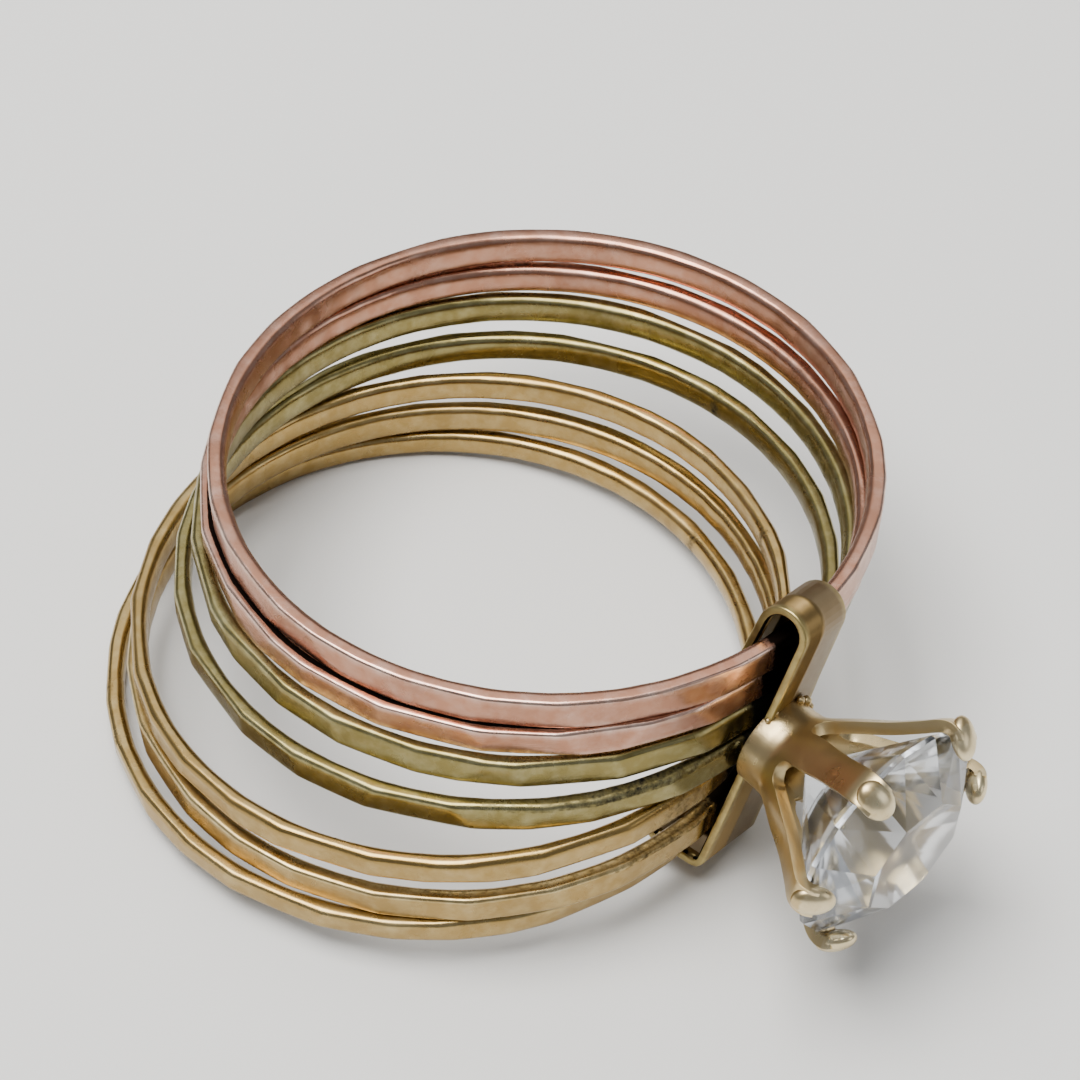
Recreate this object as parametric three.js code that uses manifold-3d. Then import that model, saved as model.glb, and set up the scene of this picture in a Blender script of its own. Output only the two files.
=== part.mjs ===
// Seven-band ring, lying on its side: seven loose hammered hoops of rose, green and yellow gold,
// threaded through one folded strap that carries a six-claw cup and a round brilliant stone.
// Millimetres, +Z up along the ring's axis, +X from the finger hole towards the stone.
import * as THREE from 'three';
import { mergeVertices } from 'three/addons/utils/BufferGeometryUtils.js';
import { ConvexGeometry } from 'three/addons/geometries/ConvexGeometry.js';
import Module from 'manifold-3d';

const wasm = await Module();
wasm.setup();

// Hoops
const hoopRadius = 9.4;
const hoopThickness = 0.5;
const hoopCorner = 0.09;
const hoopInnerCorner = 0.15;
const hoopSegments = 72;

// Beating: blows round a hoop, how deep the hardest goes, and how uneven the blows and edges are
const hammerBlows = 24;
const hammerDepth = 0.07;
const lightBlow = 0.3;
const blowDrift = 0.9;
const edgeDip = 0.05;
const waves = { strength: 5, drift: 3, edge: 11, edgeSwell: 4 };

// Each hoop's width along its axis, its centre, and how far the axis leans to +X and +Y (degrees)
const hoops = [
  { name: 'band_rose_upper', gold: 'rose', width: 1, x: -0.07, y: 1.5, z: 2.99, toX: 0.2, toY: 0.59 },
  { name: 'band_rose_lower', gold: 'rose', width: 0.9, x: -0.13, y: 1.12, z: 1.98, toX: 0, toY: 0.83 },
  { name: 'band_green_upper', gold: 'green', width: 0.94, x: -0.11, y: 0.78, z: 1.03, toX: 0.2, toY: 1 },
  { name: 'band_green_lower', gold: 'green', width: 0.92, x: -0.08, y: 0.02, z: -0.06, toX: -0.4, toY: 0.19 },
  { name: 'band_yellow_upper', gold: 'yellow', width: 0.9, x: -0.3, y: -1.52, z: -1.05, toX: -0.85, toY: -1.9 },
  { name: 'band_yellow_middle', gold: 'yellow', width: 0.96, x: -0.25, y: -1.7, z: -2.28, toX: 0.7, toY: -1.2 },
  { name: 'band_yellow_lower', gold: 'yellow', width: 0.8, x: -0.66, y: -2.24, z: -3.2, toX: 0.5, toY: -1.1 },
];

// Slide: a flat strap folded round the hoops. Its loop runs round three pins, given by the centre
// of each bend (out along +X, up along the strap) and the bend's outer radius.
const strapWall = 0.24;
const strapWidthTop = 2.05;
const strapWidthBottom = 2.65;
const strapLean = 16;
const strapTurn = 8;
const strapCentre = { x: 9, y: 0.86, z: 0.08 };
const strapPins = [
  { out: -1.42, up: -4.12, radius: 0.4 },
  { out: -0.22, up: -4.12, radius: 0.4 },
  { out: 0.16, up: 3.6, radius: 0.76 },
];

// Setting: a cup that opens into six claws. Heights are measured out from the strap's outer face.
const seat = { x: 9.68, y: 0.6, z: 0.1, dip: 3.5 };
const clawCount = 6;
const clawPhase = 38;
const clawWidth = 1.1;
const cupSides = 48;
const cupOutside = [
  { height: -0.15, radius: 1.25 },
  { height: 0.5, radius: 1.33 },
  { height: 1.1, radius: 1.58 },
  { height: 1.8, radius: 2.03 },
  { height: 2.7, radius: 2.62 },
  { height: 3.75, radius: 3.5 },
  { height: 4.25, radius: 3.62 },
  { height: 4.6, radius: 3.42 },
  { height: 4.75, radius: 3.05 },
];
const cupInside = [
  { height: 4.62, radius: 2.72 },
  { height: 4.4, radius: 2.95 },
  { height: 4.1, radius: 3.15 },
  { height: 3.6, radius: 2.98 },
  { height: 2.7, radius: 2.2 },
  { height: 1.8, radius: 1.6 },
  { height: 1.1, radius: 1.18 },
  { height: 0.5, radius: 0.95 },
  { height: -0.15, radius: 0.88 },
];
const cupRim = cupOutside[5];
const archBottom = 1.15;
const archRadius = 0.36;
const archTop = 5.2;
const archReach = 4.6;

// One claw has lost its tip: which one, and the height that is left of it
const wornClaw = 2;
const wornHeight = 4.02;

// Stone: a round brilliant, with heights from the middle of its girdle; shares are of its radius
const stoneRadius = 3.25;
const stoneMains = 8;
const girdleHeight = 4;
const girdleThickness = 0.14;
const crownHeight = 0.98;
const pavilionDepth = 2.8;
const tableShare = 0.56;
const starShare = 0.78;
const lowerShare = 0.24;
const lowerDepthShare = 0.775;
const stoneSeatGap = 0.08;

// How the ring settles on a flat surface (degrees)
const restPitch = -3.78;
const restRoll = -1.25;

const degrees = Math.PI / 180;
const weldDistance = 1e-5;
const bendSegments = 10;

const finishes = {
  rose: { color: 0xc98f74, roughness: 0.3, metalness: 1 },
  green: { color: 0xb8ab74, roughness: 0.3, metalness: 1 },
  yellow: { color: 0xc39a55, roughness: 0.3, metalness: 1 },
  setting: { color: 0xbd9a5a, roughness: 0.25, metalness: 1 },
  stone: { color: 0xf2f4f6, roughness: 0.02, metalness: 0 },
};

// Positions only, with shared corners
function welded(geometry) {
  const bare = geometry.clone();
  bare.deleteAttribute('normal');
  bare.deleteAttribute('uv');
  return mergeVertices(bare, weldDistance);
}

// A closed geometry as a solid, for cutting and joining
function solid(geometry) {
  const closed = welded(geometry);
  const vertProperties = Float32Array.from(closed.attributes.position.array);
  const triVerts = Uint32Array.from(closed.index.array);
  return new wasm.Manifold(new wasm.Mesh({ numProp: 3, vertProperties, triVerts }));
}

function geometryOf(manifold) {
  const { vertProperties, triVerts } = manifold.getMesh();
  const geometry = new THREE.BufferGeometry();
  geometry.setAttribute('position', new THREE.BufferAttribute(Float32Array.from(vertProperties), 3));
  geometry.setIndex(new THREE.BufferAttribute(Uint32Array.from(triVerts), 1));
  return geometry;
}

function meshOf(name, geometry, finish) {
  const mesh = new THREE.Mesh(geometry, new THREE.MeshStandardMaterial(finish));
  mesh.name = name;
  return mesh;
}

// One hoop: a flat strip with broken corners, its outer face beaten into shallow flats
function hoopGeometry(turn, width) {
  const inner = hoopRadius - hoopThickness;
  const half = width / 2;
  const section = [
    new THREE.Vector2(inner, -half + hoopInnerCorner),
    new THREE.Vector2(inner + hoopInnerCorner, -half),
    new THREE.Vector2(hoopRadius - hoopCorner, -half),
    new THREE.Vector2(hoopRadius, -half + hoopCorner),
    new THREE.Vector2(hoopRadius, half - hoopCorner),
    new THREE.Vector2(hoopRadius - hoopCorner, half),
    new THREE.Vector2(inner + hoopInnerCorner, half),
    new THREE.Vector2(inner, half - hoopInnerCorner),
  ];
  const geometry = new THREE.LatheGeometry([...section, section[0]], hoopSegments).rotateX(90 * degrees);
  const place = geometry.attributes.position;
  const point = new THREE.Vector3();
  const core = hoopRadius - hoopThickness / 2;
  for (let i = 0; i < place.count; i += 1) {
    point.fromBufferAttribute(place, i);
    const angle = Math.atan2(point.y, point.x);
    const radius = Math.hypot(point.x, point.y);
    const swell = (1 + Math.sin(waves.strength * angle + 2 * turn)) / 2;
    const drift = blowDrift * Math.sin(waves.drift * angle + turn);
    const blow = (1 - Math.cos(hammerBlows * angle + turn + drift)) / 2;
    const depth = hammerDepth * blow * (lightBlow + (1 - lightBlow) * swell);
    const beaten = radius > core ? radius - depth : radius;
    const ripple = Math.sin(waves.edge * angle + 3 * turn) * Math.cos(waves.edgeSwell * angle - turn);
    const height = point.z * (1 - (edgeDip / half) * ((1 + ripple) / 2));
    place.setXYZ(i, beaten * Math.cos(angle), beaten * Math.sin(angle), height);
  }
  return welded(geometry);
}

// The line round a set of pins, taken anticlockwise, as a belt runs round pulleys
function beltPath(pins, path) {
  const leave = pins.map((pin, i) => {
    const next = pins[(i + 1) % pins.length];
    const run = Math.hypot(next.out - pin.out, next.up - pin.up);
    const heading = Math.atan2(next.up - pin.up, next.out - pin.out);
    return heading - Math.acos((pin.radius - next.radius) / run);
  });
  pins.forEach((pin, i) => {
    const from = leave[(i + pins.length - 1) % pins.length];
    path.absarc(pin.out, pin.up, pin.radius, from, leave[i], false);
  });
  path.closePath();
  return path;
}

function strapGeometry() {
  const loop = beltPath(strapPins, new THREE.Shape());
  const inside = strapPins.map((pin) => ({ ...pin, radius: pin.radius - strapWall }));
  loop.holes.push(beltPath(inside, new THREE.Path()));
  const cut = { depth: 1, bevelEnabled: false, curveSegments: bendSegments };
  const geometry = new THREE.ExtrudeGeometry(loop, cut);
  const place = geometry.attributes.position;
  const bottom = strapPins[0].up;
  const top = strapPins[2].up;
  for (let i = 0; i < place.count; i += 1) {
    const up = place.getY(i);
    const width = THREE.MathUtils.mapLinear(up, bottom, top, strapWidthBottom, strapWidthTop);
    place.setXYZ(i, place.getX(i), (cut.depth / 2 - place.getZ(i)) * width, up);
  }
  geometry.rotateZ(strapTurn * degrees).rotateX(-strapLean * degrees);
  return geometry.translate(strapCentre.x, strapCentre.y, strapCentre.z);
}

// Stands a shape made about +Z on the strap's outer face, pointing out along the stone's axis
function ontoSeat(geometry) {
  geometry.rotateY((90 + seat.dip) * degrees);
  return geometry.translate(seat.x, seat.y, seat.z);
}

function cupGeometry() {
  const outline = [...cupOutside, ...cupInside, cupOutside[0]];
  const profile = outline.map(({ height, radius }) => new THREE.Vector2(radius, height));
  return new THREE.LatheGeometry(profile, cupSides).rotateX(90 * degrees);
}

// The opening between two neighbouring claws: round at the bottom, wider towards the stone
function archGeometry(index) {
  const gapAtRim = (2 * Math.PI * cupRim.radius) / clawCount - clawWidth;
  const centre = archBottom + archRadius;
  const spread = (gapAtRim / 2 - archRadius) / (cupRim.height - centre);
  const halfTop = archRadius + spread * (archTop - centre);
  const shape = new THREE.Shape();
  shape.absarc(0, centre, archRadius, Math.PI, 2 * Math.PI, false);
  shape.lineTo(halfTop, archTop);
  shape.lineTo(-halfTop, archTop);
  shape.closePath();
  const cut = { depth: archReach, bevelEnabled: false, curveSegments: bendSegments };
  const turn = 270 - clawPhase + ((index + 0.5) * 360) / clawCount;
  return new THREE.ExtrudeGeometry(shape, cut).rotateX(90 * degrees).rotateZ(turn * degrees);
}

// What is gone from the worn claw: everything above the stone's girdle
function wearGeometry() {
  const turn = 180 - clawPhase - (wornClaw * 360) / clawCount;
  const gone = new THREE.BoxGeometry(archReach, 2 * clawWidth, archTop);
  return gone.translate(archReach / 2, 0, wornHeight + archTop / 2).rotateZ(turn * degrees);
}

// Brilliant cut: table, stars, girdle, lower halves and culet, as the hull of its corners
function stoneGeometry(grow = 0) {
  const radius = stoneRadius + grow;
  const half = girdleThickness / 2 + grow;
  const starRise = (1 - starShare) / (1 - tableShare * Math.cos(Math.PI / stoneMains));
  const corners = [new THREE.Vector3(0, 0, -half - pavilionDepth)];
  const addRound = (count, shift, share, height) => {
    for (let i = 0; i < count; i += 1) {
      const angle = ((i + shift) * 2 * Math.PI) / count;
      corners.push(new THREE.Vector3().setFromCylindricalCoords(radius * share, angle, height));
    }
  };
  const upright = new THREE.Matrix4().makeRotationX(90 * degrees);
  addRound(stoneMains, 0.5, tableShare, half + crownHeight);
  addRound(stoneMains, 0, starShare, half + crownHeight * starRise);
  addRound(2 * stoneMains, 0, 1, half);
  addRound(2 * stoneMains, 0, 1, -half);
  addRound(stoneMains, 0.5, lowerShare, -half - pavilionDepth * lowerDepthShare);
  const hull = new ConvexGeometry(corners).applyMatrix4(upright);
  return welded(hull).translate(0, 0, girdleHeight);
}

function settingGeometry() {
  let cup = solid(cupGeometry());
  for (let i = 0; i < clawCount; i += 1) {
    cup = cup.subtract(solid(archGeometry(i)));
  }
  cup = cup.subtract(solid(wearGeometry())).subtract(solid(stoneGeometry(stoneSeatGap)));
  const placed = ontoSeat(geometryOf(cup));
  return geometryOf(solid(strapGeometry()).add(solid(placed)));
}

const ring = new THREE.Group();
hoops.forEach((hoop, turn) => {
  const mesh = meshOf(hoop.name, hoopGeometry(turn, hoop.width), finishes[hoop.gold]);
  mesh.position.set(hoop.x, hoop.y, hoop.z);
  mesh.rotation.set(-hoop.toY * degrees, hoop.toX * degrees, 0);
  ring.add(mesh);
});
ring.add(meshOf('slide_setting', settingGeometry(), finishes.setting));
ring.add(meshOf('stone', ontoSeat(stoneGeometry()), finishes.stone));
ring.rotation.set(restRoll * degrees, restPitch * degrees, 0);
ring.updateMatrixWorld(true);

// The part's origin: under the middle of its box, on the surface that it lies on
const part = new THREE.Group();
part.add(ring);
const box = new THREE.Box3().setFromObject(part, true);
const middle = box.getCenter(new THREE.Vector3());
ring.position.set(-middle.x, -middle.y, -box.min.z);

export default part;
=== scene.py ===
import bpy
import bmesh
import math
import random
from mathutils import Matrix, Vector, noise


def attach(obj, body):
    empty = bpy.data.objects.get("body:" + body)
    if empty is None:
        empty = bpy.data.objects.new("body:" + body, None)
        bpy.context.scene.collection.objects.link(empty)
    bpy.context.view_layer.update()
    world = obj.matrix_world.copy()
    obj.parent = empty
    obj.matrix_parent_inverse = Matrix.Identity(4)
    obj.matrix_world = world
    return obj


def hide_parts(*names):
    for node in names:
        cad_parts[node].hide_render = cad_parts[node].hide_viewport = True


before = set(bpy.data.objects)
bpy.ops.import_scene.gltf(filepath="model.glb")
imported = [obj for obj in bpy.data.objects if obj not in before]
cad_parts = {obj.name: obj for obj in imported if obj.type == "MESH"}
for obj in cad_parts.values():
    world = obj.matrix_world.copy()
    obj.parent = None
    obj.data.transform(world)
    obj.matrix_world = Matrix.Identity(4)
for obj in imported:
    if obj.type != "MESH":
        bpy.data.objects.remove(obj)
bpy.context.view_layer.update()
mm = 0.001

# where the ring's own axes lie in the part's frame: it leans a little, resting on its slide
ringPlace = {"pitch": -3.78, "roll": -1.25, "offset": (-2.43125, 0.37451, 4.09238)}
ringTurn = (Matrix.Rotation(math.radians(ringPlace["roll"]), 4, 'X')
            @ Matrix.Rotation(math.radians(ringPlace["pitch"]), 4, 'Y'))
ringToPart = Matrix.Scale(mm, 4) @ Matrix.Translation(ringPlace["offset"]) @ ringTurn
print("frame loaded:", len(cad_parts), "nodes")


def linear(hexColor):
    channels = [int(hexColor[i:i + 2], 16) / 255 for i in (0, 2, 4)]
    return tuple(c / 12.92 if c <= 0.04045 else ((c + 0.055) / 1.055) ** 2.4 for c in channels) + (1,)


# one node, its settings by socket or property name, and links given as (socket, source node, output)
def addNode(tree, kind, settings=None, links=()):
    node = tree.nodes.new(kind)
    for key, value in (settings or {}).items():
        if isinstance(key, str) and hasattr(node, key):
            setattr(node, key, value)
        else:
            node.inputs[key].default_value = value
    for socket, source, output in links:
        tree.links.new(source.outputs[output], node.inputs[socket])
    return node


def newMaterial(name):
    material = bpy.data.materials.new(name)
    material.use_nodes = True
    material.node_tree.nodes.clear()
    return material, material.node_tree


def perMm(size):
    return 1 / (size * mm)  # texture scale for a feature of that many millimetres


# gold alloys: beaten and hand-polished, so each has soft facets, fine scratches along the strip,
# brighter rubbed edges and a darker skin where nothing rubs
# each alloy's darkest colour paints both real dirt and painted shade
goldAlloys = {
    "roseGold": {"body": "b48269", "skin": "886151", "rubbed": "e8cdbe", "dirtAndShade": "120c09", "rough": 0.24},
    "greenGold": {"body": "877a4a", "skin": "615836", "rubbed": "d8d2a6", "dirtAndShade": "24231f", "rough": 0.26},
    "yellowGold": {"body": "a68a54", "skin": "78603a", "rubbed": "e6d3a2", "dirtAndShade": "1e170f", "rough": 0.26},
    "settingGold": {"body": "ccb688", "skin": "a68b60", "rubbed": "f3e6c0", "dirtAndShade": "1b140d", "rough": 0.28},
    "slideGold": {"body": "887047", "skin": "6c5939", "rubbed": "b5a36c", "dirtAndShade": "0a0806", "rough": 0.34},
}


def goldAlloy(name, look):
    material, tree = newMaterial(name)
    place = addNode(tree, "ShaderNodeTexCoord")
    strip = addNode(tree, "ShaderNodeUVMap", {"uv_map": "strip"})
    wear = addNode(tree, "ShaderNodeAttribute", {"attribute_name": "wear"})
    dirtAndShade = addNode(tree, "ShaderNodeAttribute", {"attribute_name": "dirtAndShade"})
    # clouding of the skin, a few millimetres across
    cloud = addNode(tree, "ShaderNodeTexNoise", {"Scale": perMm(2.4), "Detail": 4, "Roughness": 0.6},
                    [("Vector", place, "Object")])
    cloudShare = addNode(tree, "ShaderNodeMapRange", {"From Min": 0.35, "From Max": 0.75, "To Max": 0.4},
                         [("Value", cloud, "Fac")])
    body = addNode(tree, "ShaderNodeMix", {"data_type": 'RGBA'})
    body.inputs[6].default_value = linear(look["body"])
    body.inputs[7].default_value = linear(look["skin"])
    tree.links.new(cloudShare.outputs["Result"], body.inputs[0])
    # rubbed edges, broken up by a half-millimetre grain
    grain = addNode(tree, "ShaderNodeTexNoise", {"Scale": perMm(0.5), "Detail": 3, "Roughness": 0.6},
                    [("Vector", place, "Object")])
    rub = addNode(tree, "ShaderNodeMath", {"operation": 'MULTIPLY'},
                  [(0, wear, "Fac"), (1, grain, "Fac")])
    rubShare = addNode(tree, "ShaderNodeMapRange", {"From Min": 0.12, "From Max": 0.5, "To Max": 0.8},
                       [("Value", rub, "Value")])
    rubbed = addNode(tree, "ShaderNodeMix", {"data_type": 'RGBA'})
    rubbed.inputs[7].default_value = linear(look["rubbed"])
    tree.links.new(rubShare.outputs["Result"], rubbed.inputs[0])
    tree.links.new(body.outputs[2], rubbed.inputs[6])
    # dark spots a tenth of a millimetre each, only where the piece is marked: pits and solder dirt, and painted
    # shade inside the slide and between the hoops
    pits = addNode(tree, "ShaderNodeTexNoise", {"Scale": perMm(0.2), "Detail": 4, "Roughness": 0.7},
                   [("Vector", place, "Object")])
    darkSum = addNode(tree, "ShaderNodeMath", {"operation": 'ADD'}, [(0, dirtAndShade, "Fac"), (1, pits, "Fac")])
    darkSpots = addNode(tree, "ShaderNodeMapRange", {"From Min": 0.87, "From Max": 1.28},
                        [("Value", darkSum, "Value")])
    darkGate = addNode(tree, "ShaderNodeMath", {"operation": 'MULTIPLY', "use_clamp": True, 1: 4},
                       [(0, dirtAndShade, "Fac")])
    darkShare = addNode(tree, "ShaderNodeMath", {"operation": 'MULTIPLY'},
                        [(0, darkSpots, "Result"), (1, darkGate, "Value")])
    color = addNode(tree, "ShaderNodeMix", {"data_type": 'RGBA'})
    color.inputs[7].default_value = linear(look["dirtAndShade"])
    tree.links.new(darkShare.outputs["Value"], color.inputs[0])
    tree.links.new(rubbed.outputs[2], color.inputs[6])
    # polish lines along the strip: 0.06 mm wide, drawn 6 mm long
    lines = addNode(tree, "ShaderNodeMapping", {"vector_type": 'POINT', "Scale": (1 / 6, 1 / 0.06, 1)},
                    [("Vector", strip, "UV")])
    scratch = addNode(tree, "ShaderNodeTexNoise", {"Scale": 1, "Detail": 3, "Roughness": 0.65},
                      [("Vector", lines, "Vector")])
    roughBase = addNode(tree, "ShaderNodeMapRange",
                        {"From Min": 0.3, "From Max": 0.7, "To Min": look["rough"] - 0.06,
                         "To Max": look["rough"] + 0.1}, [("Value", cloud, "Fac")])
    rough = addNode(tree, "ShaderNodeMath", {"operation": 'MULTIPLY_ADD', 1: 0.4},
                    [(0, darkShare, "Value"), (2, roughBase, "Result")])
    # relief: beaten skin 0.35 mm across, the polish lines, then the pits
    skinNoise = addNode(tree, "ShaderNodeTexNoise", {"Scale": perMm(0.9), "Detail": 3, "Roughness": 0.55},
                        [("Vector", place, "Object")])
    skinBump = addNode(tree, "ShaderNodeBump", {"Strength": 0.35, "Distance": 0.03 * mm},
                       [("Height", skinNoise, "Fac")])
    lineBump = addNode(tree, "ShaderNodeBump", {"Strength": 0.18, "Distance": 0.01 * mm},
                       [("Height", scratch, "Fac"), ("Normal", skinBump, "Normal")])
    pitBump = addNode(tree, "ShaderNodeBump", {"Strength": 0.15, "Distance": 0.01 * mm, "invert": True},
                      [("Height", darkShare, "Value"), ("Normal", lineBump, "Normal")])
    shader = addNode(tree, "ShaderNodeBsdfPrincipled", {"Metallic": 1},
                     [("Roughness", rough, "Value"), ("Normal", pitBump, "Normal")])
    tree.links.new(color.outputs[2], shader.inputs["Base Color"])
    addNode(tree, "ShaderNodeOutputMaterial", None, [("Surface", shader, "BSDF")])
    return material


alloys = {name: goldAlloy(name, look) for name, look in goldAlloys.items()}


def brilliantGlass():
    # clear cut stone, hazed by fine wear
    material, tree = newMaterial("clearCutStone")
    shader = addNode(tree, "ShaderNodeBsdfPrincipled",
                     {"Base Color": linear("eef1f5"), "Roughness": 0.1, "IOR": 1.72, "Transmission Weight": 1})
    addNode(tree, "ShaderNodeOutputMaterial", None, [("Surface", shader, "BSDF")])
    return material


def finishPiece(bm, name, node, material, place):
    bmesh.ops.transform(bm, matrix=ringToPart @ place, verts=bm.verts[:])
    mesh = bpy.data.meshes.new(name)
    bm.to_mesh(mesh)
    bm.free()
    piece = bpy.data.objects.new(name, mesh)
    bpy.context.scene.collection.objects.link(piece)
    mesh.materials.append(material)
    if node:
        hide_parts(node)
    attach(piece, "root")
    return piece


def smoothShade(bm):
    for face in bm.faces:
        face.smooth = True


# hoops: flat strips beaten into short flats, edges broken by hand
# the last keys set the painted shade where the hoops pass through the slide (full within 5 degrees of its
# middle, gone past 8), how dark the bottom faces go, and the direction and inner share of the top faces that go
# dark with dirt and painted shade
hoopForm = {
    "radius": 9.4, "thickness": 0.5, "innerCorner": 0.17, "cornerSteps": 5, "faceCuts": 4, "innerDome": 0.05,
    "steps": 540, "flatShort": 1.1, "flatLong": 2.9, "extraDepth": 0.035, "flatTilt": 0.11, "ridge": 140,
    "edgeDip": 0.015, "innerWave": 0.015, "lumps": 0.014, "faceDome": 0.018, "hiddenFrom": 8, "hiddenFull": 5,
    "underside": 0.6, "longEdge": 0.12, "grimeAndShadeToward": -50, "grimeAndShadeShare": 0.62,
}
# beat: how hard the flats are struck; marks: angle in degrees from the stone, spread, side, strength
# each row's dark top-face strength paints dirt and painted shade on the inner part of the top face, in the
# crevice under the band above, towards the front
hoopTable = [
    {"name": "band_rose_upper", "alloy": "roseGold", "slot": "rose_gold", "width": 1.02,
     "centre": (-0.07, 1.5, 2.98), "toX": 0.2, "toY": 0.59, "seed": 11, "beat": 0.5,
     "corner": 0.1, "grimeAndShade": 0, "marks": []},
    {"name": "band_rose_lower", "alloy": "roseGold", "slot": "rose_gold", "width": 0.92,
     "centre": (-0.11, 1.16, 2.0), "toX": 0, "toY": 0.83, "seed": 23, "beat": 0.8,
     "corner": 0.09, "grimeAndShade": 1, "marks": []},
    {"name": "band_green_upper", "alloy": "greenGold", "slot": "green_gold", "width": 0.94,
     "centre": (-0.11, 0.78, 1.03), "toX": 0.2, "toY": 1, "seed": 31, "beat": 0.95,
     "corner": 0.16, "grimeAndShade": 0.4, "marks": [(-123, 3, "top", 0.5)]},
    {"name": "band_green_lower", "alloy": "greenGold", "slot": "green_gold", "width": 0.92,
     "centre": (-0.08, 0.02, -0.06), "toX": -0.4, "toY": 0.19, "seed": 47, "beat": 0.85,
     "corner": 0.15, "grimeAndShade": 0.25, "marks": [(-22, 34, "top", 0.65), (92.5, 2, "inner", 0.6)]},
    {"name": "band_yellow_upper", "alloy": "yellowGold", "slot": "yellow_gold", "width": 0.9,
     "centre": (-0.3, -1.52, -1.05), "toX": -0.85, "toY": -1.9, "seed": 53, "beat": 0.9,
     "corner": 0.2, "grimeAndShade": 0, "marks": [(-4, 9, "outer", 0.5), (62, 2, "inner", 0.6)]},
    {"name": "band_yellow_middle", "alloy": "yellowGold", "slot": "yellow_gold", "width": 0.96,
     "centre": (-0.25, -1.7, -2.28), "toX": 0.7, "toY": -1.2, "seed": 67, "beat": 0.65,
     "corner": 0.12, "grimeAndShade": 0.4, "marks": [(-4, 30, "top", 0.55)]},
    {"name": "band_yellow_lower", "alloy": "yellowGold", "slot": "yellow_gold", "width": 0.8,
     "centre": (-0.66, -2.24, -3.2), "toX": 0.5, "toY": -1.1, "seed": 79, "beat": 0.75,
     "corner": 0.16, "grimeAndShade": 0.3,
     "marks": [(-127, 3, "outer", 0.5), (-115.5, 3, "outer", 0.5), (78.5, 2, "inner", 0.6)]},
]


def hammerFlats(seed, form):
    chance = random.Random(seed)
    flats = []
    angle = chance.uniform(0, 0.2)
    start = angle
    while angle < start + 2 * math.pi - 0.1:
        span = chance.uniform(form["flatShort"], form["flatLong"]) / form["radius"]
        span = min(span, start + 2 * math.pi - angle)
        depth = form["radius"] * (1 - math.cos(span / 2)) + chance.uniform(0, form["extraDepth"])
        flats.append((angle + span / 2, depth, chance.uniform(-1, 1) * form["flatTilt"]))
        angle += span
    return flats


def beatenRadius(angle, z, flats, form):
    total = 0
    for middle, depth, tilt in flats:
        away = (angle - middle + math.pi) % (2 * math.pi) - math.pi
        if abs(away) < 0.6:
            reach = (form["radius"] - depth + tilt * z) / math.cos(away)
            total += math.exp(-form["ridge"] * (reach - form["radius"]))
    return form["radius"] - math.log(1 + total) / form["ridge"]


def markStrength(row, degree, z, radius, form):
    half = row["width"] / 2
    sides = {"top": z > half * 0.6, "outer": radius > form["radius"] - form["thickness"] * 0.4,
             "inner": radius < form["radius"] - form["thickness"] * 0.6}
    strength = 0
    for middle, spread, side, amount in row["marks"]:
        away = (degree - middle + 180) % 360 - 180
        if sides[side]:
            strength = max(strength, amount * max(0, 1 - abs(away) / spread) ** 0.5)
    return strength


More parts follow.
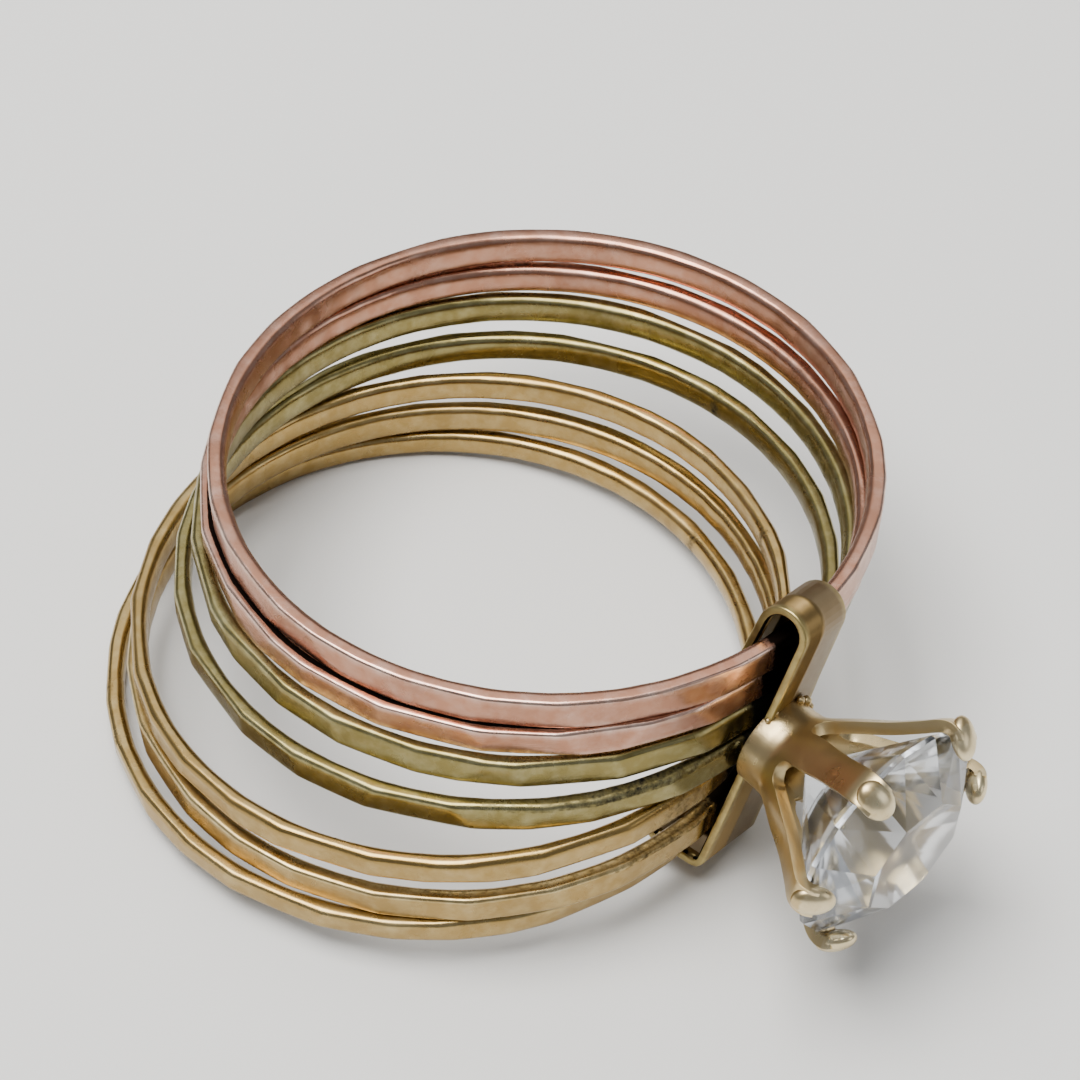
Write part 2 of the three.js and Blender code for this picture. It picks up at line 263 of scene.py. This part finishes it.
def makeHoop(row, form):
    inner = form["radius"] - form["thickness"]
    half = row["width"] / 2
    bm = bmesh.new()
    corners = [bm.verts.new(co) for co in ((inner, 0, -half), (form["radius"], 0, -half),
                                           (form["radius"], 0, half), (inner, 0, half))]
    bm.faces.new(corners)
    for side, offset in ((corners[1:3], row["corner"]), (corners[::3], form["innerCorner"])):
        bmesh.ops.bevel(bm, geom=side, offset=offset, segments=form["cornerSteps"], profile=0.5,
                        affect='VERTICES', material=-1)
    longEdges = [e for e in bm.edges if e.calc_length() > form["longEdge"]]
    bmesh.ops.subdivide_edges(bm, edges=longEdges, cuts=form["faceCuts"])
    bmesh.ops.delete(bm, geom=bm.faces[:], context='FACES_ONLY')
    bmesh.ops.spin(bm, geom=bm.verts[:] + bm.edges[:], cent=(0, 0, 0), axis=(0, 0, 1), angle=2 * math.pi,
                   steps=form["steps"], use_merge=True)
    bmesh.ops.remove_doubles(bm, verts=bm.verts[:], dist=1e-5)
    bmesh.ops.recalc_face_normals(bm, faces=bm.faces[:])
    wear = bm.verts.layers.float.new("wear")
    dirtAndShade = bm.verts.layers.float.new("dirtAndShade")
    strip = bm.loops.layers.uv.new("strip")
    # lengths along and across the strip, in millimetres, with the joint of the map inside the slide
    seam = math.atan2(0.84 + 0.287 * row["centre"][2] - row["centre"][1], 9.2 - row["centre"][0])
    for face in bm.faces:
        first = None
        for loop in face.loops:
            co = loop.vert.co
            turn = (math.atan2(co.y, co.x) - seam) % (2 * math.pi)
            if first is None:
                first = turn
            turn += 2 * math.pi * round((first - turn) / (2 * math.pi))
            across = co.z if abs(co.z) < half - form["longEdge"] else math.hypot(co.x, co.y)
            loop[strip].uv = (turn * form["radius"], across)
    flats = hammerFlats(row["seed"], form)
    for v in bm.verts:
        angle = math.atan2(v.co.y, v.co.x)
        radius = math.hypot(v.co.x, v.co.y)
        share = (radius - inner) / form["thickness"]
        blow = form["radius"] - beatenRadius(angle, v.co.z, flats, form)
        struck = min(1, blow / 0.07)
        round2 = Vector((math.cos(angle), math.sin(angle), row["seed"]))
        wave = noise.noise(round2 * 3.7)
        ripple = noise.noise(round2 * 14)
        sunk = row["beat"] * blow - form["lumps"] * wave
        dome = form["innerDome"] * (1 - (v.co.z / half) ** 2)
        newRadius = radius - share * sunk - (1 - share) * (dome - form["innerWave"] * ripple)
        dip = form["edgeDip"] * (0.5 * (1 - struck) + 0.3 * (1 + wave) * 0.5 + 0.2 * (1 + ripple) * 0.5)
        dip += form["faceDome"] * (2 * share - 1) ** 2
        corner = min(1, max(0, abs(v.co.z) - (half - 0.12)) / 0.12 + max(0, abs(share - 0.5) - 0.3) / 0.2 - 0.7)
        # dark inner part of each top face, towards the front: dirt and painted shade in the crevice under the
        # band above; bottom faces darkened by a fixed share
        onFace = abs(v.co.z) > half - 0.03 and share < form["grimeAndShadeShare"]
        front = min(1, max(0, 0.5 + 1.5 * math.cos(angle - math.radians(form["grimeAndShadeToward"]))))
        grimeAndShade = (row["grimeAndShade"] * front if v.co.z > 0 else form["underside"]) if onFace else 0
        v[wear] = max(0, corner) + 0.25 * max(0, 0.5 - struck) * share
        # painted shade: near the slide's middle the hoops go fully dark, fading out just past its edges
        hidden = abs(math.degrees((angle - seam + math.pi) % (2 * math.pi) - math.pi))
        slideShade = min(1, max(0, (form["hiddenFrom"] - hidden) / (form["hiddenFrom"] - form["hiddenFull"])))
        v[dirtAndShade] = max(slideShade, grimeAndShade, markStrength(row, math.degrees(angle), v.co.z, radius, form))
        v.co = Vector((newRadius * math.cos(angle), newRadius * math.sin(angle), v.co.z * (1 - dip / half)))
    smoothShade(bm)
    lean = (Matrix.Rotation(math.radians(-row["toY"]), 4, 'X')
            @ Matrix.Rotation(math.radians(row["toX"]), 4, 'Y'))
    return finishPiece(bm, row["name"] + "_beaten", row["name"], alloys[row["alloy"]],
                       Matrix.Translation(row["centre"]) @ lean)


for row in hoopTable:
    makeHoop(row, hoopForm)
print("hoops beaten:", len(hoopTable))

# slide: one strap bent round three bends; each bend is its centre (out, up) and outer radius
slideForm = {
    "wall": 0.24, "widthTop": 2.05, "widthBottom": 2.65, "lean": 16, "turn": 8, "centre": (9, 0.86, 0.08),
    "bends": [(-1.42, -4.12, 0.4), (-0.22, -4.12, 0.4), (0.16, 3.6, 0.76)],
    "corner": 0.06, "bendSteps": 14, "runSteps": 22, "acrossCuts": 7, "unevenness": 0.02,
}


def makeSlide(form):
    bends = form["bends"]
    leave = []
    for i, (out, up, radius) in enumerate(bends):
        nextOut, nextUp, nextRadius = bends[(i + 1) % len(bends)]
        run = math.hypot(nextOut - out, nextUp - up)
        leave.append(math.atan2(nextUp - up, nextOut - out) - math.acos((radius - nextRadius) / run))
    half = (form["widthTop"] + form["widthBottom"]) / 4
    bm = bmesh.new()
    out, up, radius = bends[0]
    start = leave[-1]
    rim = [(radius - form["wall"], -half), (radius, -half), (radius, half), (radius - form["wall"], half)]
    bm.faces.new([bm.verts.new((out + r * math.cos(start), y, up + r * math.sin(start))) for r, y in rim])
    bmesh.ops.bevel(bm, geom=bm.verts[:], offset=form["corner"], segments=3, profile=0.5,
                    affect='VERTICES', material=-1)
    longEdges = [e for e in bm.edges if e.calc_length() > half]
    bmesh.ops.subdivide_edges(bm, edges=longEdges, cuts=form["acrossCuts"])
    bmesh.ops.delete(bm, geom=bm.faces[:], context='FACES_ONLY')
    last = bm.edges[:]
    for i, (out, up, radius) in enumerate(bends):
        arrive = leave[i - 1]
        angle = (leave[i] - arrive) % (2 * math.pi)
        ends = list({v for e in last for v in e.verts})
        made = bmesh.ops.spin(bm, geom=ends + last, cent=(out, 0, up), axis=(0, -1, 0), angle=angle,
                              steps=form["bendSteps"])
        last = [g for g in made["geom_last"] if isinstance(g, bmesh.types.BMEdge)]
        nextOut, nextUp, nextRadius = bends[(i + 1) % len(bends)]
        step = Vector((nextOut + nextRadius * math.cos(leave[i]) - out - radius * math.cos(leave[i]), 0,
                       nextUp + nextRadius * math.sin(leave[i]) - up - radius * math.sin(leave[i])))
        runs = form["runSteps"] if step.length > 3 else 5
        for _ in range(runs):
            made = bmesh.ops.extrude_edge_only(bm, edges=last)
            last = [g for g in made["geom"] if isinstance(g, bmesh.types.BMEdge) and
                    all(v in made["geom"] for v in g.verts)]
            moved = list({v for e in last for v in e.verts})
            bmesh.ops.translate(bm, vec=step / runs, verts=moved)
    bmesh.ops.remove_doubles(bm, verts=bm.verts[:], dist=1e-3)
    bmesh.ops.recalc_face_normals(bm, faces=bm.faces[:])
    wear = bm.verts.layers.float.new("wear")
    dirtAndShade = bm.verts.layers.float.new("dirtAndShade")
    strip = bm.loops.layers.uv.new("strip")
    for face in bm.faces:
        for loop in face.loops:
            loop[strip].uv = (loop.vert.co.z, loop.vert.co.y)
    bottom, top = bends[0][1], bends[2][1]
    lowMiddle = (bends[0][0] + bends[1][0]) / 2
    for v in bm.verts:
        along = (v.co.z - bottom) / (top - bottom)
        width = form["widthBottom"] + along * (form["widthTop"] - form["widthBottom"])
        edge = abs(v.co.y) > half - form["corner"] * 1.05
        level = min(1, max(0, along))
        heart = Vector((lowMiddle + level * (bends[2][0] - lowMiddle), v.co.y, bottom + level * (top - bottom)))
        facing = v.normal.dot((v.co - heart).normalized())
        v[wear] = 0.9 if edge else 0.1
        # painted shade: faces looking into the loop are set fully dark, so the strap's inside shows near black
        v[dirtAndShade] = 1 if facing < -0.4 else 0
        v.co.y *= width / (2 * half)
        v.co += form["unevenness"] * noise.noise_vector(v.co * 0.7)
    smoothShade(bm)
    place = (Matrix.Translation(form["centre"]) @ Matrix.Rotation(math.radians(-form["lean"]), 4, 'X')
             @ Matrix.Rotation(math.radians(form["turn"]), 4, 'Z'))
    return finishPiece(bm, "slide_strap", "slide_setting", alloys["slideGold"], place)


makeSlide(slideForm)
print("slide folded")

# setting: a cup whose rim opens into claws; middle line of its wall as (height, radius)
settingForm = {
    "seat": (9.68, 0.6, 0.1), "dip": 3.5, "claws": 6, "phase": 38, "wornClaw": 2, "wornHeight": 4.0,
    "wall": 0.34, "archBottom": 1.15, "archRadius": 0.36, "archSpread": 0.39, "clawHalf": 0.45,
    "rows": 80, "across": 12, "rim": 0.13, "head": (0.6, 0.46, 0.29), "headAt": (4.4, 3.34), "headLean": 42,
    "bentClaws": {3: 5, 5: 3}, "beads": [(128, 1.38, 0.02, 0.15), (142, 1.36, 0, 0.12), (112, 1.36, 0.05, 0.1),
              (-172, 1.38, 0, 0.1), (-160, 1.36, 0, 0.08)],
    "line": [(-0.15, 1.13), (0.2, 1.14), (0.5, 1.15), (0.8, 1.2), (1.1, 1.36), (1.8, 1.85), (2.7, 2.45),
             (3.4, 3.0), (3.8, 3.34), (4.05, 3.46), (4.3, 3.44), (4.45, 3.32)],
}
seatPlace = (Matrix.Translation(settingForm["seat"])
             @ Matrix.Rotation(math.radians(90 + settingForm["dip"]), 4, 'Y'))


# a smooth point on the wall's middle line at a share of its length
def linePoint(line, share):
    lengths = [0]
    for a, b in zip(line, line[1:]):
        lengths.append(lengths[-1] + math.dist(a, b))
    want = share * lengths[-1]
    i = max(k for k in range(len(line) - 1) if lengths[k] <= want + 1e-9)
    t = (want - lengths[i]) / (lengths[i + 1] - lengths[i])
    p = [Vector(line[min(max(i + k, 0), len(line) - 1)]) for k in (-1, 0, 1, 2)]
    point = 0.5 * (2 * p[1] + (p[2] - p[0]) * t + (2 * p[0] - 5 * p[1] + 4 * p[2] - p[3]) * t * t
                   + (3 * p[1] - p[0] - 3 * p[2] + p[3]) * t ** 3)
    return point[0], point[1]


def clawHalfAngle(height, radius, form):
    sector = math.pi / form["claws"]
    if height <= form["archBottom"]:
        return sector
    centre = form["archBottom"] + form["archRadius"]
    if height < centre:
        gap = math.sqrt(form["archRadius"] ** 2 - (centre - height) ** 2)
    else:
        gap = form["archRadius"] + form["archSpread"] * (height - centre)
    return max(form["clawHalf"] / radius, sector - math.asin(min(0.95, gap / radius)))


# some claws were pushed a little sideways: how far at this height, in radians
def bentBy(claw, height, form):
    share = min(1, max(0, (height - form["archBottom"]) / (form["headAt"][0] - form["archBottom"])))
    return math.radians(form["bentClaws"].get(claw, 0)) * share


def makeSetting(form):
    bm = bmesh.new()
    worn = next(k / 400 for k in range(401) if linePoint(form["line"], k / 400)[0] > form["wornHeight"])
    for claw in range(form["claws"]):
        middle = math.radians(180 - form["phase"]) - claw * 2 * math.pi / form["claws"]
        grid = bmesh.ops.create_grid(bm, x_segments=form["across"], y_segments=form["rows"], size=1)
        for v in grid["verts"]:
            share = (v.co.y + 1) / 2
            share *= worn if claw == form["wornClaw"] else 1
            height, radius = linePoint(form["line"], share)
            bend = bentBy(claw, height, form)
            angle = middle + bend + v.co.x * clawHalfAngle(height, radius, form)
            v.co = Vector((radius * math.cos(angle), radius * math.sin(angle), height))
    bmesh.ops.remove_doubles(bm, verts=bm.verts[:], dist=2e-3)
    bmesh.ops.recalc_face_normals(bm, faces=bm.faces[:])
    sample = min(bm.faces, key=lambda f: abs(f.calc_center_median().z - 2))
    if sample.normal.xy.dot(sample.calc_center_median().xy) < 0:
        bmesh.ops.reverse_faces(bm, faces=bm.faces[:])
    outside = bm.faces[:]
    for v in bm.verts:
        v.co += v.normal * form["wall"] / 2
    bmesh.ops.solidify(bm, geom=outside, thickness=form["wall"])
    bmesh.ops.recalc_face_normals(bm, faces=bm.faces[:])
    rims = [e for e in bm.edges if e.is_manifold and e.calc_face_angle() > math.radians(50)]
    rimVerts = bmesh.ops.bevel(bm, geom=rims, offset=form["rim"], segments=4, profile=0.5, affect='EDGES',
                               material=-1, clamp_overlap=True)["verts"]
    # each tip is pushed over the stone and left as a rounded bean
    for claw in range(form["claws"]):
        if claw != form["wornClaw"]:
            middle = math.pi - math.radians(form["phase"]) - claw * 2 * math.pi / form["claws"]
            height, radius = form["headAt"]
            middle += bentBy(claw, height, form)
            place = (Matrix.Rotation(middle, 4, 'Z') @ Matrix.Translation((radius, 0, height))
                     @ Matrix.Rotation(math.radians(form["headLean"]), 4, 'Y')
                     @ Matrix.Diagonal((*form["head"], 1)))
            bmesh.ops.create_uvsphere(bm, u_segments=32, v_segments=20, radius=1, matrix=place)
    # beads of solder left where the cup meets the strap: turn, distance, height, size
    for turn, away, height, size in form["beads"]:
        place = Matrix.Rotation(math.radians(turn), 4, 'Z') @ Matrix.Translation((away, 0, height))
        bmesh.ops.create_uvsphere(bm, u_segments=16, v_segments=10, radius=size, matrix=place)
    wear = bm.verts.layers.float.new("wear")
    dirtAndShade = bm.verts.layers.float.new("dirtAndShade")
    strip = bm.loops.layers.uv.new("strip")
    rounded = set(rimVerts)
    for v in bm.verts:
        v[wear] = (0.9 if v in rounded else 0.15) + (0.5 if v.co.z > 4.3 else 0)
        # darker towards the base of the cup, where it meets the strap
        v[dirtAndShade] = 0.5 * max(0, 1 - (v.co.z + 0.15) / 0.5)
    for face in bm.faces:
        for loop in face.loops:
            loop[strip].uv = (loop.vert.co.z, math.atan2(loop.vert.co.y, loop.vert.co.x) * 2)
    smoothShade(bm)
    return finishPiece(bm, "claw_cup", None, alloys["settingGold"], seatPlace)


makeSetting(settingForm)
print("setting raised")

# stone: round brilliant, heights from the middle of its girdle
stoneForm = {
    "radius": 3.25, "mains": 8, "girdleHeight": 4, "girdle": 0.14, "crown": 0.98, "pavilion": 2.8,
    "tableShare": 0.56, "starShare": 0.78, "lowerShare": 0.24, "lowerDepth": 0.775,
}


def makeStone(form):
    half = form["girdle"] / 2
    starRise = (1 - form["starShare"]) / (1 - form["tableShare"] * math.cos(math.pi / form["mains"]))
    rounds = [
        (form["mains"], 0.5, form["tableShare"], half + form["crown"]),
        (form["mains"], 0, form["starShare"], half + form["crown"] * starRise),
        (2 * form["mains"], 0, 1, half),
        (2 * form["mains"], 0, 1, -half),
        (form["mains"], 0.5, form["lowerShare"], -half - form["pavilion"] * form["lowerDepth"]),
    ]
    bm = bmesh.new()
    for count, shift, share, height in rounds:
        turn = Matrix.Rotation((shift + 0.25 * count) * 2 * math.pi / count, 4, 'Z')
        level = Matrix.Translation((0, 0, height + form["girdleHeight"]))
        bmesh.ops.create_circle(bm, segments=count, radius=form["radius"] * share, matrix=level @ turn)
    bm.verts.new((0, 0, form["girdleHeight"] - half - form["pavilion"]))
    bmesh.ops.delete(bm, geom=bm.edges[:], context='EDGES_FACES')
    bmesh.ops.convex_hull(bm, input=bm.verts[:])
    bmesh.ops.dissolve_limit(bm, angle_limit=math.radians(0.5), verts=bm.verts[:], edges=bm.edges[:])
    bmesh.ops.recalc_face_normals(bm, faces=bm.faces[:])
    return finishPiece(bm, "stone_brilliant", "stone", brilliantGlass(), seatPlace)


makeStone(stoneForm)
print("stone cut")

# floor, light and camera
stageForm = {
    "floor": "dfddd8", "floorSize": 1.2, "world": "c9ced6", "worldStrength": 0.46,
    "lights": [
        # where it stands (mm), size (mm), power (W)
        {"name": "topSoftbox", "at": (-70, -70, 320), "size": 230, "power": 2.15},
        {"name": "backSoftbox", "at": (-120, 110, 290), "size": 300, "power": 0.4},
        {"name": "rightFill", "at": (260, 120, 140), "size": 160, "power": 0.1},
    ],
    "camera": {"at": (44.652, -43.150, 65.603), "right": (0.69459, 0.71927, 0.01382),
               "down": (0.52543, -0.49410, -0.69267), "lens": 106.9},
}


def makeStage(form):
    bm = bmesh.new()
    bmesh.ops.create_grid(bm, x_segments=1, y_segments=1, size=form["floorSize"] / 2)
    mesh = bpy.data.meshes.new("floor")
    bm.to_mesh(mesh)
    bm.free()
    floor = bpy.data.objects.new("floor", mesh)
    bpy.context.scene.collection.objects.link(floor)
    material, tree = newMaterial("palePaper")
    shader = addNode(tree, "ShaderNodeBsdfPrincipled", {"Base Color": linear(form["floor"]), "Roughness": 0.8})
    addNode(tree, "ShaderNodeOutputMaterial", None, [("Surface", shader, "BSDF")])
    mesh.materials.append(material)
    for row in form["lights"]:
        light = bpy.data.lights.new(row["name"], 'AREA')
        light.size = row["size"] * mm
        light.energy = row["power"]
        lamp = bpy.data.objects.new(row["name"], light)
        lamp.location = Vector(row["at"]) * mm
        lamp.rotation_euler = (-lamp.location).to_track_quat('-Z', 'Y').to_euler()
        bpy.context.scene.collection.objects.link(lamp)
    world = bpy.data.worlds.new("paleRoom")
    world.use_nodes = True
    background = world.node_tree.nodes["Background"]
    background.inputs["Color"].default_value = linear(form["world"])
    background.inputs["Strength"].default_value = form["worldStrength"]
    bpy.context.scene.world = world


def makeCamera(view):
    right, down = Vector(view["right"]).normalized(), Vector(view["down"])
    up = -(down - right * down.dot(right)).normalized()
    turn = Matrix((right, up, right.cross(up))).transposed().to_4x4()
    camera = bpy.data.cameras.new("camera")
    camera.lens = view["lens"]
    camera.sensor_width = 36
    camera.clip_start = 1 * mm
    eye = bpy.data.objects.new("camera", camera)
    eye.matrix_world = Matrix.Translation(ringToPart @ Vector(view["at"])) @ ringTurn @ turn
    bpy.context.scene.collection.objects.link(eye)
    bpy.context.scene.camera = eye


makeStage(stageForm)
makeCamera(stageForm["camera"])
print("stage set")
